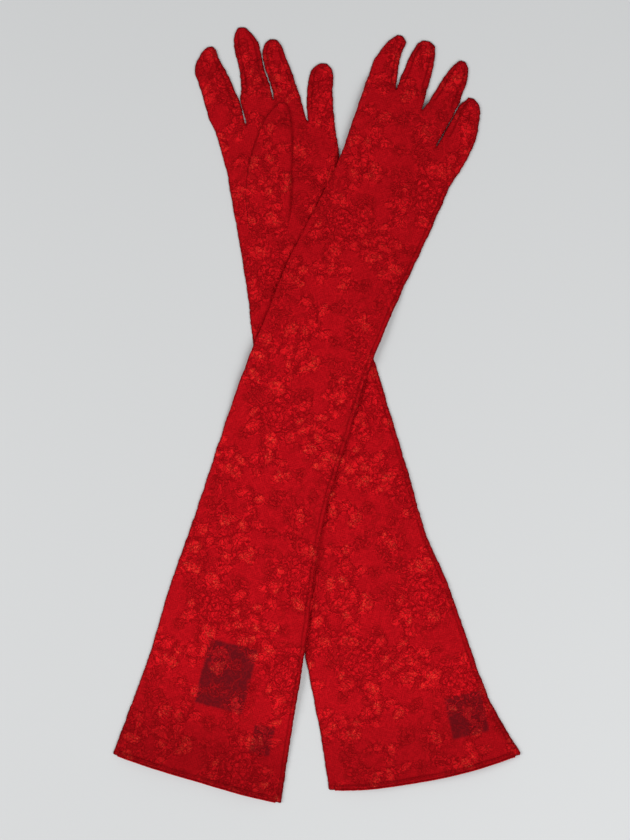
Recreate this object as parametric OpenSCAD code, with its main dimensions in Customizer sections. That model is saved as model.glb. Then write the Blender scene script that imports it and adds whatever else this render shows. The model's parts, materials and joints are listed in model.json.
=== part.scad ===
// A pair of long lace opera gloves, laid flat with the right glove crossed over the left.
// The left glove lies palm up, the right glove lies back up.
// +Y runs towards the fingertips, +Z is up, and the pair rests on the plane z = 0.

/* [Overall size] */
// Length of the laid-out pair, from the lowest cuff corner to the highest fingertip
pair_length = 583; // [480:1:640]
// Width of the laid-out pair, from cuff corner to cuff corner
pair_width = 306; // [260:1:340]

/* [Cloth] */
// Thickness of one layer of the stretch lace
lace_t = 0.6; // [0.4:0.1:0.7]
// Air space inside the sleeve at the cuff
sleeve_loft = 7.8; // [6:0.2:9]
// Air space inside the hand
hand_loft = 5.8; // [5:0.2:7]
// Distance from an edge at which the air space reaches its full height
edge_reach = 30; // [24:1:36]

/* [Crossing] */
// Air space left in the lower glove where the upper one presses on it
pressed_loft = 1.6; // [1:0.1:2]
// Height of the upper glove's underside where it lies on the lower glove
crossing_lift = 3.3; // [3.2:0.1:4]

/* [Seams] */
// Width of the side seam's turned-in allowance
seam_w = 3; // [2:0.5:3.5]
// Thickness of the side seam's turned-in allowance
seam_t = 0.6; // [0.4:0.1:0.7]
// Depth of the turned-in cuff hem
hem_w = 4; // [3:0.5:6]
// Thickness of the turned-in cuff hem
hem_t = 0.4; // [0.3:0.1:0.5]
// Share of a finger's half width, from its edge inwards, that is the fork between two fingers
fork_share = 0.4; // [0.3:0.05:0.5]

/* [Labels] */
// Width and length of the right glove's care label
care_label = [37, 49]; // [20:1:50]
// Width and length of the right glove's size label
size_label = [15, 21]; // [10:1:25]
// Width and length of the left glove's care label
left_label = [28, 31]; // [15:1:35]
// Thickness of a label's tape
label_t = 0.3; // [0.2:0.1:0.4]

/* [Hidden] */

red_palm = [0.62, 0.07, 0.10];
red_back = [0.68, 0.09, 0.12];
red_finger = [0.66, 0.08, 0.11];
red_fork = [0.54, 0.05, 0.08];
red_trim = [0.50, 0.04, 0.07];
maroon = [0.25, 0.05, 0.07];

LEFT = 0;
RIGHT = 1;
drawn_length = 583;
drawn_width = 306;
finger_gap = 0.35;
skin_gap = 0.05;
seam_gap = 0.12;
seam_inset = 0.4;
slit = 0.15;
edge_power = 2.2;
thumb_gap = 0.4;
thumb_rest = 2 * lace_t + hand_loft + thumb_gap;
thumb_loft = 4.6;
hidden_thumb_loft = 2;
hidden_thumb_lift = 3.2;
// How much of its air a raised glove loses
lift_squeeze = 0.35;
// Height of the right glove's labels above its lower sheet, clear of the sheet's rise at the crossing
label_lift = 1.4;
// Grid of a panel: columns in each finger's lane, rows up to the webs, rows on each finger's stub
lane_cols = 4;
web_rows = 3;
stub_rows = 2;
// Stations between which the air changes from the sleeve's to the hand's
hand_starts = [3, 8];
// Distance outside the other glove's edge at which a glove is fully raised, and where it lies flat again
cover_fade = [8, 34];
// The same, measured from the hidden thumb's swing, and from its root towards the fingertips
thumb_fade = [18, 30];
root_fade = [102, 116];
hidden_thumb_length = 100;

// Index side and little-finger side of each arm, cuff first, knuckles last
index_side = [
  [[9, -281], [3, -241], [-5, -200], [-13, -158], [-20, -116], [-26, -76], [-33, -34], [-40, 6],
   [-47, 44], [-51, 82], [-56, 116], [-62, 150], [-68, 184]],
  [[-153, -254], [-137, -211], [-124, -175], [-111, -130], [-95, -85], [-80, -40], [-65, 5], [-52, 41],
   [-37, 76], [-24, 110], [-10, 138], [4, 165], [17, 192]]
];
little_side = [
  [[153, -254], [130, -215], [114, -172], [98, -126], [82, -90], [71, -52], [59, -12], [47, 28],
   [37, 62], [31, 98], [26, 130], [20, 163], [17, 194]],
  [[-27, -291], [-20, -244], [-13, -202], [-7, -162], [-1, -114], [8, -66], [22, -22], [32, 12],
   [43, 44], [58, 80], [71, 108], [86, 140], [99, 170]]
];
// How far the cuff edge bows outwards between its corners
cuff_bow = [6, 1];

// The points between the fingers, from the index side to the little-finger side
webs = [
  [[-76, 212], [-52, 212], [-32, 232], [-6, 215], [14, 214]],
  [[28, 224], [57, 236], [78, 226], [86, 196], [110, 187]]
];

// Each finger's index-side and little-finger-side edges, from its fold line to its tip
index_edges = [
  [[-81.6, 223.3], [-85.5, 239], [-91.3, 256], [-90, 265.5], [-84.5, 273.8], [-81.5, 276]],
  [[38.3, 254], [42.7, 266], [48.5, 274.5], [54.5, 281], [60.5, 285]]
];
index_inner = [
  [[-57.6, 230.5], [-62, 244.5], [-68.8, 259], [-73.3, 266.5], [-76, 274], [-78, 276.2]],
  [[59.3, 246], [61.2, 261], [63.5, 271.5], [67, 279.5], [64, 284.5]]
];
middle_edges = [
  [[-56.9, 240.8], [-57.7, 256], [-60.5, 268], [-62.5, 280], [-61.5, 286.5], [-58.5, 291]],
  [[61.2, 249.3], [66.5, 262], [71.5, 272.5], [75.5, 278.5], [79.5, 281]]
];
middle_inner = [
  [[-34.6, 245.2], [-39.6, 258], [-42, 270.5], [-43.8, 279.5], [-50, 287], [-54, 291]],
  [[82.3, 242.6], [86.3, 256], [88.3, 268], [88.8, 276], [84, 280.3]]
];
ring_edges = [
  [[-32.7, 243.6], [-37.7, 257], [-40.7, 270], [-39.6, 277.5], [-35.5, 281.5]],
  [[85, 237], [91.5, 247.5], [98, 257], [103, 262.8], [107.5, 266]]
];
ring_inner = [
  [[-15.6, 248.6], [-20.4, 260.5], [-24.6, 271.5], [-27, 277.8], [-30.5, 281.5]],
  [[103.2, 228.8], [109.3, 241], [112.8, 252], [113.5, 259.5], [111.5, 264.5]]
];
little_edges = [
  [[-7.7, 229], [-7.5, 242], [-5.5, 255], [-1.5, 261.5], [3, 264]],
  [[95.4, 209.3], [101.5, 220.5], [107, 230.5], [110.5, 235], [113.8, 238]]
];
little_outer = [
  [[12.3, 229], [11.8, 242], [12, 255], [10, 261], [6.5, 264]],
  [[117.3, 201], [120.8, 213.5], [122.5, 226], [121.5, 232], [117.8, 237]]
];
thumb_a = [
  [[-49.5, 132], [-53, 154], [-52.8, 176], [-49.3, 194], [-42.5, 214], [-35, 227], [-28.5, 234]],
  [[29, 143], [32.5, 160], [41, 180], [50, 198], [60, 213], [69, 223], [74, 227]]
];
thumb_b = [
  [[-24, 132], [-19.8, 154], [-19, 176], [-18.7, 195], [-18.8, 216], [-20.5, 228.5], [-24, 234]],
  [[45, 131], [55, 148], [65, 168], [73, 187], [79, 203], [81, 216], [78, 225]]
];
// The hidden thumb's root and its tip at both ends of its swing
thumb_root = [34.5, 136];
swing_tips = [[76, 226], [30, 235]];

fingers_a = [for (g = [0, 1]) [index_edges[g], middle_edges[g], ring_edges[g], little_edges[g]]];
fingers_b = [for (g = [0, 1]) [index_inner[g], middle_inner[g], ring_inner[g], little_outer[g]]];
station_count = len(index_side[0]);
arm_rows = 2 * (station_count - 1);
panel_rows = arm_rows + web_rows + stub_rows;

function lerp(a, b, f) = a + (b - a) * f;
function clamp01(f) = min(1, max(0, f));
function smooth(f) = let (c = clamp01(f)) c * c * (3 - 2 * c);
function to_size(p) = [p[0] * pair_width / drawn_width, p[1] * pair_length / drawn_length];

// A point at position s, counted in stations, on the smooth curve through a list of points
function on_curve(p, s) =
  let (last = len(p) - 1)
  let (i = min(last - 1, floor(s)))
  let (f = s - i)
  let (a = p[max(0, i - 1)])
  let (b = p[i])
  let (c = p[i + 1])
  let (d = p[min(last, i + 2)])
  0.5 * (2 * b + (c - a) * f + (2 * a - 5 * b + 4 * c - d) * f * f + (3 * b - a - 3 * c + d) * f * f * f);

// Distance from a point to a segment, and to a chain of points
function to_segment(p, a, b) =
  let (ab = b - a)
  let (f = clamp01((p - a) * ab / (ab * ab)))
  norm(p - a - f * ab);
function to_chain(p, chain) = min([for (i = [0 : len(chain) - 2]) to_segment(p, chain[i], chain[i + 1])]);

// How far inside a glove's arm and hand a point lies, negative outside
function flipped(points) = [for (p = points) [p[1], p[0]]];
function inside_depth(g, p) =
  min(p[0] - lookup(p[1], flipped(index_side[g])), lookup(p[1], flipped(little_side[g])) - p[0]);

// 1 up to the first distance of a range, falling to 0 at the second
function fade(range, distance) = smooth((range[1] - distance) / (range[1] - range[0]));

// 1 under or over the other glove, falling to 0 past its edges
function covered(other, p) = fade(cover_fade, -inside_depth(other, p));

// The palm's rise over the hidden thumb, wide enough for the thumb to swing between its two tips
function left_of(a, b, p) = (b[0] - a[0]) * (p[1] - a[1]) - (b[1] - a[1]) * (p[0] - a[0]) > 0;
function over_thumb(p) =
  let (reach = norm(p - thumb_root))
  let (between = left_of(thumb_root, swing_tips[0], p) && !left_of(thumb_root, swing_tips[1], p))
  let (away = between && reach < hidden_thumb_length ? 0
    : to_chain(p, [swing_tips[0], thumb_root, swing_tips[1]]))
  fade(thumb_fade, away) * fade(root_fade, reach);

// Height of a glove's underside above the table
function underside(g, p) =
  g == LEFT ? 0 : max(crossing_lift * covered(LEFT, p), hidden_thumb_lift * over_thumb(p));

// Air space at a given distance from the nearest edge
function puff(loft, edge) = loft * (1 - pow(1 - clamp01(edge / edge_reach), edge_power));

// Air space inside a panel, which the crossing presses flat in the lower glove
function air(g, p, s, edge, seam_side) =
  let (loft = lerp(hand_loft, sleeve_loft, fade(hand_starts, s)))
  let (free = puff(loft, edge))
  let (pressed = min(free, pressed_loft))
  let (rise = underside(g, p) / crossing_lift)
  max(g == LEFT ? lerp(free, pressed, covered(RIGHT, p)) : free * (1 - lift_squeeze * rise),
      seam_side ? seam_t + 2 * seam_gap : 0);

// A point of the arm at station s, a share f of the way from the index side to the little-finger side
function arm_point(g, s, f) =
  let (a = on_curve(index_side[g], s))
  let (b = on_curve(little_side[g], s))
  let (bow = cuff_bow[g] * (1 - pow(2 * f - 1, 2)) * clamp01(1 - s / 1.5))
  lerp(a, b, f) - [0, bow];

// A point of the drawn panel: row by row up the arm, then fanned out to the four fold lines
function panel_xy(g, lane, row, col) =
  let (across = col / lane_cols)
  let (knuckle = arm_point(g, station_count - 1, (lane + across) / 4))
  let (web = lerp(webs[g][lane], webs[g][lane + 1], across))
  let (fold = lerp(fingers_a[g][lane][0], fingers_b[g][lane][0], across))
  row <= arm_rows ? arm_point(g, row / 2, (lane + across) / 4)
    : row <= arm_rows + web_rows ? lerp(knuckle, web, (row - arm_rows) / web_rows)
    : lerp(web, fold, (row - arm_rows - web_rows) / stub_rows);

// The closed edges of a panel: both sides of the arm and both sides of each slit between two fingers
function panel_edges(g) = concat(
  [for (side = [0, 1])
    [for (row = [0 : panel_rows]) panel_xy(g, side * 3, row, side * lane_cols)]],
  [for (lane = [0 : 2]) [fingers_b[g][lane][0], webs[g][lane + 1], fingers_a[g][lane + 1][0]]]
);

// Every panel point with its underside height and its air space
function panel_grid(g) =
  let (edges = panel_edges(g))
  [for (lane = [0 : 3])
    [for (row = [0 : panel_rows])
      [for (col = [0 : lane_cols])
        let (p = panel_xy(g, lane, row, col))
        let (edge = min([for (chain = edges) to_chain(p, chain)]))
        let (seam_side = lane == 3 && col == lane_cols)
        [p[0], p[1], underside(g, p), air(g, p, min(row / 2, station_count - 1), edge, seam_side)]]]];

// One corner of a panel's cloth: upper sheet or lower sheet, outer face or inner face
function corner(q, upper, outer) =
  let (xy = to_size(q))
  let (low = outer ? 0 : lace_t)
  let (high = (outer ? 2 : 1) * lace_t + q[3])
  [xy[0], xy[1], q[2] + (upper ? high : low)];

// A closed sheet between two grids of points, with walls round its free edges
module sheet(outer, inner, wrap = false) {
  rows = len(outer);
  cols = len(outer[0]);
  count = rows * cols;
  spans = wrap ? cols : cols - 1;
  function at(r, c) = r * cols + c % cols;
  polyhedron(
    points = concat([for (row = outer) each row], [for (row = inner) each row]),
    faces = [
      for (r = [0 : rows - 2])
        for (c = [0 : spans - 1])
          each [
            [at(r, c), at(r + 1, c), at(r + 1, c + 1)],
            [at(r, c), at(r + 1, c + 1), at(r, c + 1)],
            [count + at(r, c), count + at(r, c + 1), count + at(r + 1, c + 1)],
            [count + at(r, c), count + at(r + 1, c + 1), count + at(r + 1, c)]
          ],
      for (c = [0 : spans - 1])
        each [
          [at(0, c), at(0, c + 1), count + at(0, c + 1)],
          [at(0, c), count + at(0, c + 1), count + at(0, c)],
          [at(rows - 1, c), count + at(rows - 1, c), count + at(rows - 1, c + 1)],
          [at(rows - 1, c), count + at(rows - 1, c + 1), at(rows - 1, c + 1)]
        ],
      if (!wrap)
        for (r = [0 : rows - 2])
          each [
            [at(r + 1, 0), at(r, 0), count + at(r, 0)],
            [at(r + 1, 0), count + at(r, 0), count + at(r + 1, 0)],
            [at(r, cols - 1), at(r + 1, cols - 1), count + at(r + 1, cols - 1)],
            [at(r, cols - 1), count + at(r + 1, cols - 1), count + at(r, cols - 1)]
          ]
    ],
    convexity = 6
  );
}

// Points of the whole panel in one list: each lane has its own rows, and lanes share an edge up to the web
module panel(g, upper) {
  grid = panel_grid(g);
  cols = lane_cols + 1;
  lane_size = (panel_rows + 1) * cols;
  count = 4 * lane_size;
  web_row = arm_rows + web_rows;
  function own(lane, r, c) = lane * lane_size + r * cols + c;
  // A point on an edge that two lanes share belongs to the lane on its index side
  function at(lane, r, c) =
    (c == 0 && lane > 0 && r <= web_row) ? own(lane - 1, r, lane_cols) : own(lane, r, c);
  // The upper sheet's outer face is its top, the lower sheet's outer face is its bottom
  function top(lane, r, c) = (upper ? 0 : count) + at(lane, r, c);
  function bottom(lane, r, c) = (upper ? count : 0) + at(lane, r, c);
  polyhedron(
    points = [
      for (outer = [true, false])
        for (lane = [0 : 3])
          for (row = grid[lane])
            for (q = row) corner(q, upper, outer)
    ],
    faces = [
      for (lane = [0 : 3])
        for (r = [0 : panel_rows - 1])
          for (c = [0 : lane_cols - 1])
            each [
              [top(lane, r, c), top(lane, r + 1, c), top(lane, r + 1, c + 1)],
              [top(lane, r, c), top(lane, r + 1, c + 1), top(lane, r, c + 1)],
              [bottom(lane, r, c), bottom(lane, r, c + 1), bottom(lane, r + 1, c + 1)],
              [bottom(lane, r, c), bottom(lane, r + 1, c + 1), bottom(lane, r + 1, c)]
            ],
      for (lane = [0 : 3])
        for (c = [0 : lane_cols - 1])
          each [
            [top(lane, 0, c), top(lane, 0, c + 1), bottom(lane, 0, c + 1)],
            [top(lane, 0, c), bottom(lane, 0, c + 1), bottom(lane, 0, c)],
            [top(lane, panel_rows, c), bottom(lane, panel_rows, c), bottom(lane, panel_rows, c + 1)],
            [top(lane, panel_rows, c), bottom(lane, panel_rows, c + 1), top(lane, panel_rows, c + 1)]
          ],
      for (lane = [0 : 3])
        for (r = [lane == 0 ? 0 : web_row : panel_rows - 1])
          each [
            [top(lane, r + 1, 0), top(lane, r, 0), bottom(lane, r, 0)],
            [top(lane, r + 1, 0), bottom(lane, r, 0), bottom(lane, r + 1, 0)]
          ],
      for (lane = [0 : 3])
        for (r = [lane == 3 ? 0 : web_row : panel_rows - 1])
          each [
            [top(lane, r, lane_cols), top(lane, r + 1, lane_cols), bottom(lane, r + 1, lane_cols)],
            [top(lane, r, lane_cols), bottom(lane, r + 1, lane_cols), bottom(lane, r, lane_cols)]
          ]
    ],
    convexity = 8
  );
}

// The panel's surface between its grid points, on its own triangles: s in stations, f across the arm
function on_panel(grid, s, f) =
  let (r = min(arm_rows - 1, floor(2 * s)))
  let (c = min(4 * lane_cols - 1, floor(4 * lane_cols * f)))
  let (up = 2 * s - r)
  let (across = 4 * lane_cols * f - c)
  let (lane = grid[floor(c / lane_cols)])
  let (col = c % lane_cols)
  let (near = lane[r][col])
  let (far = lane[r + 1][col + 1])
  up > across
    ? near + up * (lane[r + 1][col] - near) + across * (far - lane[r + 1][col])
    : near + across * (lane[r][col + 1] - near) + up * (far - lane[r][col + 1]);

// A thin strip on a panel's inner face, from low to high above the lower sheet's inner face
function strip_point(q, height) =
  let (xy = to_size(q))
  [xy[0], xy[1], q[2] + lace_t + height];

// The side seam's turned-in allowance, along the little-finger side
module side_seam(g) {
  grid = panel_grid(g);
  rows = [0.15, for (r = [3 : 6 * (station_count - 1)]) r / 6];
  function share(s, inset) = 1 - inset / norm(arm_point(g, s, 1) - arm_point(g, s, 0));
  function seam_grid(height) =
    [for (s = rows) [for (inset = [seam_w + seam_inset, seam_inset])
      strip_point(on_panel(grid, s, share(s, inset)), height)]];
  sheet(seam_grid(seam_t + seam_gap), seam_grid(seam_gap));
}

// The turned-in cuff hem: one strip under the upper sheet, one on the lower sheet
module cuff_hem(g) {
  grid = panel_grid(g);
  first_spacing = norm(arm_point(g, 1, 0.5) - arm_point(g, 0, 0.5));
  rows = [0.01, 0.01 + hem_w / first_spacing];
  shares = [0.03, for (i = [1 : 4 * lane_cols - 1]) i / (4 * lane_cols), 0.97];
  function hem_grid(upper, height) =
    [for (s = rows) [for (f = shares)
      let (q = on_panel(grid, s, f)) strip_point(q, upper ? q[3] - height : height)]];
  sheet(hem_grid(true, skin_gap), hem_grid(true, skin_gap + hem_t));
  sheet(hem_grid(false, skin_gap + hem_t), hem_grid(false, skin_gap));
}

// The small step that moves a finger's fold line clear of the hand, and an edge chain that starts there
function fold_step(a, b) =
  let (along = [a[0][1] - b[0][1], b[0][0] - a[0][0]])
  finger_gap * along / norm(along);
function moved_clear(chain, step) = [chain[0] + step, for (i = [1 : len(chain) - 1]) chain[i]];

// A column of a sleeve is [u, side]: u from -1 to 1 across it, side 1 on top and -1 underneath
top_cols = [for (u = [-1, -1 / 3, 1 / 3, 1]) [(1 - fork_share) * u, 1]];
under_cols = [for (u = [1, 1 / 3, -1 / 3, -1]) [(1 - fork_share) * u, -1]];
edge_b_cols = [[1, 1], [1, -1]];
edge_a_cols = [[-1, -1], [-1, 1]];
fork_seam = 1 - fork_share;
fork_middle = 1 - fork_share / 2;
fork_b_cols = [[fork_seam, 1], [fork_middle, 1], [1, 1], [1, -1], [fork_middle, -1], [fork_seam, -1]];
fork_a_cols = [for (q = fork_b_cols) [-q[0], -q[1]]];

// A strip of a sleeve laid flat on the height rest, between the edge chains a and b
module sleeve(a, b, columns, wrap = false, loft = hand_loft, rest = 0) {
  last = len(a) - 1;
  tip = (a[last] + b[last]) / 2;
  function sleeve_point(s, column, outer) =
    let (pa = on_curve(a, s))
    let (pb = on_curve(b, s))
    let (half = norm(pb - pa) / 2)
    let (past_seam = max(0, abs(column[0]) - 1 + fork_share) / fork_share)
    let (u = column[0] - (outer ? 0 : sign(column[0]) * past_seam * lace_t / half))
    let (p = lerp(pa, pb, (u + 1) / 2))
    let (edge = min((1 - abs(u)) * half, norm((pa + pb) / 2 - tip)))
    let (gap = puff(loft, edge))
    let (high = outer ? 2 * lace_t + gap : lace_t + max(gap, slit))
    let (low = outer ? 0 : lace_t)
    let (xy = to_size(p))
    [xy[0], xy[1], rest + (column[1] > 0 ? high : low)];
  function sleeve_grid(outer) =
    [for (i = [0 : 2 * last]) [for (column = columns) sleeve_point(i / 2, column, outer)]];
  sheet(sleeve_grid(true), sleeve_grid(false), wrap);
}

// One finger: the palm and back strips, joined round an edge where there is no fork
module finger(g, n) {
  step = fold_step(fingers_a[g][n], fingers_b[g][n]);
  a = moved_clear(fingers_a[g][n], step);
  b = moved_clear(fingers_b[g][n], step);
  if (n == 0) sleeve(a, b, concat(under_cols, edge_a_cols, top_cols));
  if (n == 3) sleeve(a, b, concat(top_cols, edge_b_cols, under_cols));
  if (n == 1 || n == 2) sleeve(a, b, top_cols);
  if (n == 1 || n == 2) sleeve(a, b, under_cols);
}

// The forks on one finger: a strip folded round each edge that faces another finger
module forks(g, n) {
  step = fold_step(fingers_a[g][n], fingers_b[g][n]);
  a = moved_clear(fingers_a[g][n], step);
  b = moved_clear(fingers_b[g][n], step);
  if (n < 3) sleeve(a, b, fork_b_cols);
  if (n > 0) sleeve(a, b, fork_a_cols);
}

// The set-in thumb, one piece closed by its own seam
module thumb(g) {
  loop = concat(top_cols, edge_b_cols, under_cols, edge_a_cols);
  sleeve(thumb_a[g], thumb_b[g], loop, true,
    g == LEFT ? thumb_loft : hidden_thumb_loft, g == LEFT ? thumb_rest : 0);
}

// A label's tape, lying inside the cuff
module label(size, at, turn, lift = 0) {
  xy = to_size(at);
  translate([xy[0], xy[1], lace_t + skin_gap + lift])
    rotate([0, 0, turn])
      translate([-size[0] / 2, -size[1] / 2, 0])
        cube([size[0], size[1], label_t]);
}

module left_back_panel() { color(red_back) panel(LEFT, false); }
module left_palm_panel() { color(red_palm) panel(LEFT, true); }
module left_side_seam() { color(red_trim) side_seam(LEFT); }
module left_cuff_hem() { color(red_trim) cuff_hem(LEFT); }
module left_care_label() { color(maroon) label(left_label, [112, -224], 12); }
module left_index_finger() { color(red_finger) finger(LEFT, 0); }
module left_middle_finger() { color(red_finger) finger(LEFT, 1); }
module left_ring_finger() { color(red_finger) finger(LEFT, 2); }
module left_little_finger() { color(red_finger) finger(LEFT, 3); }
module left_thumb() { color(red_finger) thumb(LEFT); }
module left_index_fork() { color(red_fork) forks(LEFT, 0); }
module left_middle_forks() { color(red_fork) forks(LEFT, 1); }
module left_ring_forks() { color(red_fork) forks(LEFT, 2); }
module left_little_fork() { color(red_fork) forks(LEFT, 3); }
module right_back_panel() { color(red_back) panel(RIGHT, true); }
module right_palm_panel() { color(red_palm) panel(RIGHT, false); }
module right_side_seam() { color(red_trim) side_seam(RIGHT); }
module right_cuff_hem() { color(red_trim) cuff_hem(RIGHT); }
module right_care_label() { color(maroon) label(care_label, [-68, -195], -14, label_lift); }
module right_size_label() { color(maroon) label(size_label, [-41, -243], -12, label_lift); }
module right_index_finger() { color(red_finger) finger(RIGHT, 0); }
module right_middle_finger() { color(red_finger) finger(RIGHT, 1); }
module right_ring_finger() { color(red_finger) finger(RIGHT, 2); }
module right_little_finger() { color(red_finger) finger(RIGHT, 3); }
module right_thumb() { color(red_finger) thumb(RIGHT); }
module right_index_fork() { color(red_fork) forks(RIGHT, 0); }
module right_middle_forks() { color(red_fork) forks(RIGHT, 1); }
module right_ring_forks() { color(red_fork) forks(RIGHT, 2); }
module right_little_fork() { color(red_fork) forks(RIGHT, 3); }

left_back_panel();
left_palm_panel();
left_side_seam();
left_cuff_hem();
left_care_label();
left_index_finger();
left_middle_finger();
left_ring_finger();
left_little_finger();
left_thumb();
left_index_fork();
left_middle_forks();
left_ring_forks();
left_little_fork();
right_back_panel();
right_palm_panel();
right_side_seam();
right_cuff_hem();
right_care_label();
right_size_label();
right_index_finger();
right_middle_finger();
right_ring_finger();
right_little_finger();
right_thumb();
right_index_fork();
right_middle_forks();
right_ring_forks();
right_little_fork();
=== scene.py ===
"""A pair of red stretch-lace opera gloves, laid flat with the right one crossed over the left."""

import json
import math

import bpy
import numpy as np
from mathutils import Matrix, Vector


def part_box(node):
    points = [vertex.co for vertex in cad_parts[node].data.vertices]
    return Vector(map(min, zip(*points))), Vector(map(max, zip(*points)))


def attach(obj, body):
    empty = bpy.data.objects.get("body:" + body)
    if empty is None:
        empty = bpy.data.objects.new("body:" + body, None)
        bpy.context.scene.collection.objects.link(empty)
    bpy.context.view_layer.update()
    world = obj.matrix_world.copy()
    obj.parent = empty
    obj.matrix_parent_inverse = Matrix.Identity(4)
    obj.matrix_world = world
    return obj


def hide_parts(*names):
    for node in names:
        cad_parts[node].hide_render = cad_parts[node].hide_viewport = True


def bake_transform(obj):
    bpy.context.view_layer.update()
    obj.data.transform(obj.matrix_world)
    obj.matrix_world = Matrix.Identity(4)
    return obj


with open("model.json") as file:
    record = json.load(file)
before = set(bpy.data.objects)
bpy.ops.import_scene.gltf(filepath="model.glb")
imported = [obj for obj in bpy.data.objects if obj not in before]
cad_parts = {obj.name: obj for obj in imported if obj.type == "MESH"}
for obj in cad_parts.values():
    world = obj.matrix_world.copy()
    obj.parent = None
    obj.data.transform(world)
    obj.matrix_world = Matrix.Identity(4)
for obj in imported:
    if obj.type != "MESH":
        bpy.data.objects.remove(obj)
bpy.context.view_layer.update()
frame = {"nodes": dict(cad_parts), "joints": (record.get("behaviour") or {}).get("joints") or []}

# Lengths are millimetres here, and turn into metres where a mesh or a joint needs them
MM = 0.001

# Spacing of a cloth mesh's points, and of the finer grid that finds its outline
STEP = 0.75
FINE = STEP / 2
# The fine grid's points that the cloth mesh has too
COARSE = np.s_[::2, ::2]
# Empty border of a grid round its solids
MARGIN = 4.0
# Blurs, in grid points, of a solid's outline, its lower surface and its thickness
OUTLINE_BLUR, LOW_BLUR, THICK_BLUR = 1.4, 5, 6
# The least slope of the blurred outline that counts as near it, and the distance given elsewhere
SLOPE, FAR = 0.05, 9.0

FINGERS = ("index", "middle", "ring", "little")
FORKS = ("index_fork", "middle_forks", "ring_forks", "little_fork")
UPPER = {"left": "palm_panel", "right": "back_panel"}
LOWER = {"left": "back_panel", "right": "palm_panel"}

# Share of the CAD solid's thickness that the soft cloth keeps
SLACK = 0.62
# Height above its lower sheet at which the two sheets meet along an edge
EDGE = 0.55
# Least air between the sheets away from an edge, and the distances from it over which the upper
# sheet rounds over, the lower one curls up and the sagging comes on
LEAST_AIR = 0.3
ROUND, CURL, SAG_FADE = 5.0, 1.6, 12
# How far a finger's piece reaches back over the hand, and how far along it the bend goes
BACK, ALONG = 6.0, 8.0
# Where a fork's strip begins on the hand, as a share of half the finger's width, how near the fold
# a CAD corner lies to tell that width, and how much wider the finger's piece is on the hand
FORK_FROM = 0.6
FOLD_NEAR, FOLD_WIDER = 1.2, 0.4
# How much higher the thumb's seam starts on the index side, and the length over which it rises
THUMB_SEAM, THUMB_RISE = 34.0, 22
# Height of the right thumb above the table, and of the left one above the palm at its seam, and
# how much higher the left one's free part lies
THUMB_ON_TABLE, THUMB_ON_PALM, THUMB_FREE = 0.1, 0.12, 0.25
# How much the line between a thumb's folded side and its sewn side leans
THUMB_LEAN = {"left": 0.0, "right": 0.5}
# Height of the lace's raised pattern
RELIEF = 0.5
# A slit is closed to twice SLIT_LEFT where it is narrower than SLIT_SHUT, and not from SLIT_OPEN up
SLIT_LEFT, SLIT_SHUT, SLIT_OPEN = 0.14, 2.8, 4.6
# A slit's width is found in steps of SLIT_STEP, down to SLIT_LEAST
SLIT_LEAST, SLIT_STEP = 0.7, 0.1
# It is closed if its sides are parallel to EVEN degrees, and not from UNEVEN up
EVEN, UNEVEN = 10, 14
# Distance from a closed slit at which the cloth stays where it is
SLIT_REACH = 9

# Waves, each with its size, its length and its seed: how the cloth's points and its drawing stray
# from where they should be, and how the upper sheet sags
STRAY = ((0.18, 16, 11), (0.14, 5, 13))
DRIFT = ((1.2, 24, 31), (0.5, 9, 33))
SAG = ((0.35, 38, 5), (0.2, 17, 6))

# The folds' simulation: its spacing in cloth points, its metres to a millimetre, its length in
# frames, the most it lifts, the waves it starts from, and its cloth, 1.2 % larger than its outline
FOLD_EVERY = 8
FOLD_SCALE = 0.01
FOLD_FRAMES = 24
FOLD_MOST = 0.7
FOLD_START = ((0.15, 45, 21),)
FOLD_CLOTH = {"quality": 8, "mass": 0.2, "tension_stiffness": 12, "compression_stiffness": 12,
              "bending_stiffness": 0.4, "air_damping": 4, "shrink_min": -0.012}

# One repeat of the lace, and the size of a dot in its drawing
REPEAT = (112.0, 150.0)
DOT = 0.375
# Where the lace lies on each glove's upper and lower sheet, and on the thumbs
SHIFTS = {"left": ((20, 30), (60, 90)), "right": ((0, 0), (50, 70))}
THUMB_SHIFT = (35, 10)
# How much darker the lace is made on the hand, and at each cuff
HAND_DARKENING = 0.35
CUFF_DARKENING = {"left": 0.80, "right": 1.25}
# The lengths over which that comes on, how far it reaches from the cuff, and the percentage of the
# glove's points that lie before its hand
HAND_FADE, CUFF_FADE, CUFF_END = 90, 60, 75
BEFORE_HAND = 62
# The dark line along the cloth's edge, painted shade where the cloth rolls over: its width, and that of its
# soft side
RIM, RIM_SOFT = 0.5, 0.9
# Spacing of the fine net between the motifs
NET = 1.6

# The rolled cuff hem's section, as distances into the cuff and away from the sheet's inner face
HEM_SECTION = np.array([(3.9, -0.25), (0.6, -0.22), (0.1, 0.05), (0.5, 0.24), (0.2, 0.36), (-0.3, 0.26),
                        (-0.48, -0.05), (-0.3, -0.4), (0.2, -0.52), (2.0, -0.54), (3.9, -0.50)])
# Distances of the hem's stitched rows from the edge
STITCH_ROWS = (2.4, 3.6)
# Its lace, which is a dense net without motifs, cut from the lace's plain edge
HEM_LACE = {"lace": [0.7, 0.0, 0.15, 0.4], "sewn": [0.25, 0.4, 0.0, HAND_DARKENING]}
# Length of a hem stitch, and of one loop of the overlocked seam, and each thread's radius
STITCH, SEAM_PITCH = 2.4, 2.2
STITCH_THREAD, SEAM_THREAD = 0.17, 0.16
# A thread's girth at its ends, and a direction that no thread follows
THREAD_END = 0.35
NEAR_UP = (0.12, 0.05, 0.99)
# How far above the upper and the lower sheet their stitches lie, and how far they arch up
STITCH_ON = {1: 0.30, -1: 0.65}
STITCH_ARCH = 0.12
# Places along the cuff, the width of the strips that its edge is found in, and its least height
CUFF_PLACES, CUFF_STRIP, CUFF_LEAST = 160, 2.5, 0.45
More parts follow.
